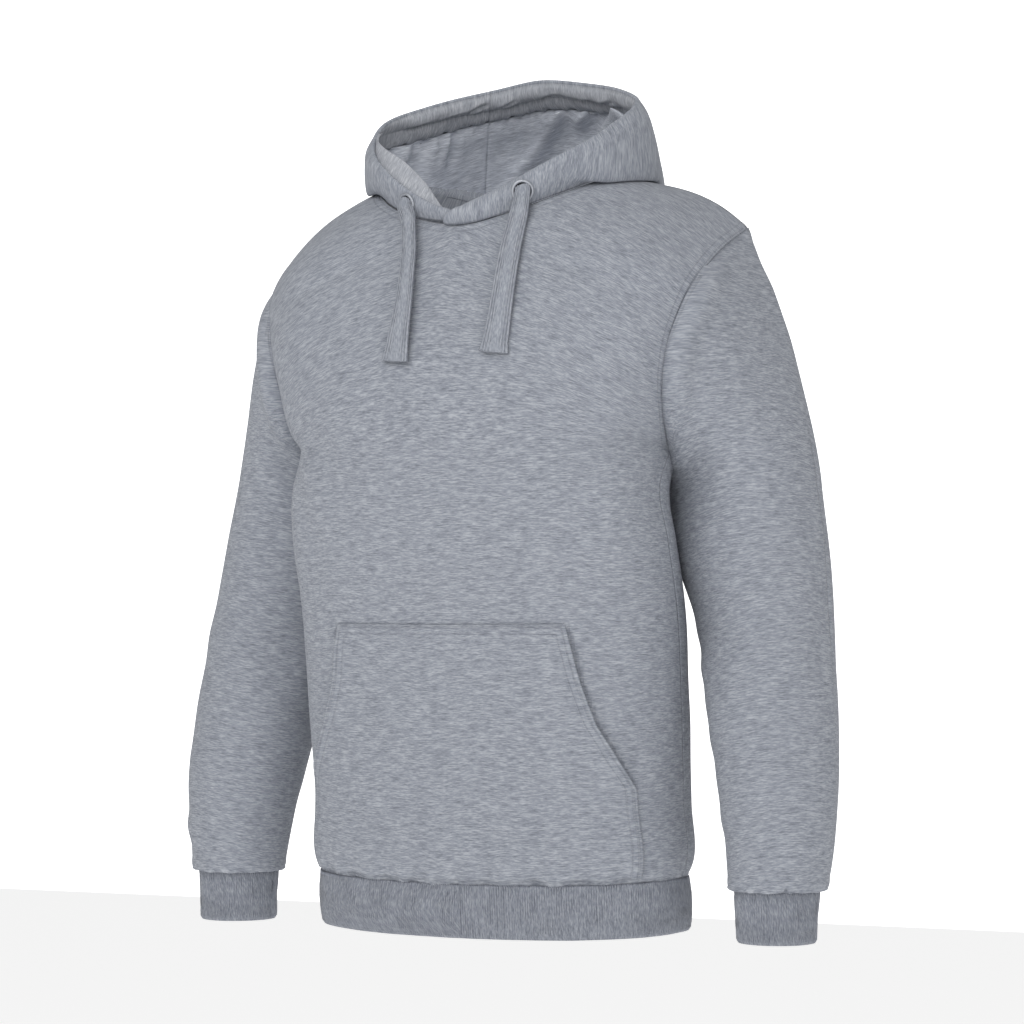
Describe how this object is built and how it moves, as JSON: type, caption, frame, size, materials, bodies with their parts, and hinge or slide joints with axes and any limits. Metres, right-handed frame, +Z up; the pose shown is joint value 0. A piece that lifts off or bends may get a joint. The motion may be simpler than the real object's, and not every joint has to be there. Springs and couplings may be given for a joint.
{
  "type": "pullover hoodie",
  "caption": "Long-sleeved pullover sweatshirt with a lined hood folded down behind the neck, flat drawcords through eyelets, kangaroo pocket and ribbed cuffs and hem, filled out as worn",
  "frame": {"origin": "on the body's axis, level with the high points of the shoulders, where the wearer holds it up", "axes": "the front faces -Y, the wearer's left is +X and up is +Z"},
  "size_m": [0.6866, 0.3553, 0.8381],
  "materials": {
    "fleece": "matte",
    "lining": "matte",
    "ribbing": "matte",
    "cord": "matte",
    "eyelet_metal": "polished"
  },
  "bodies": {
    "root": {"front": "fleece", "back": "fleece", "sleeve_left": "fleece", "sleeve_right": "fleece", "cuff_left": "ribbing", "cuff_right": "ribbing", "hem_band": "ribbing", "pocket": "fleece", "hood_left": "fleece", "hood_right": "fleece", "hood_lining_left": "lining", "hood_lining_right": "lining", "eyelet_left": "eyelet_metal", "eyelet_right": "eyelet_metal", "drawcord_left": "cord", "drawcord_right": "cord"}
  },
  "joints": []
}
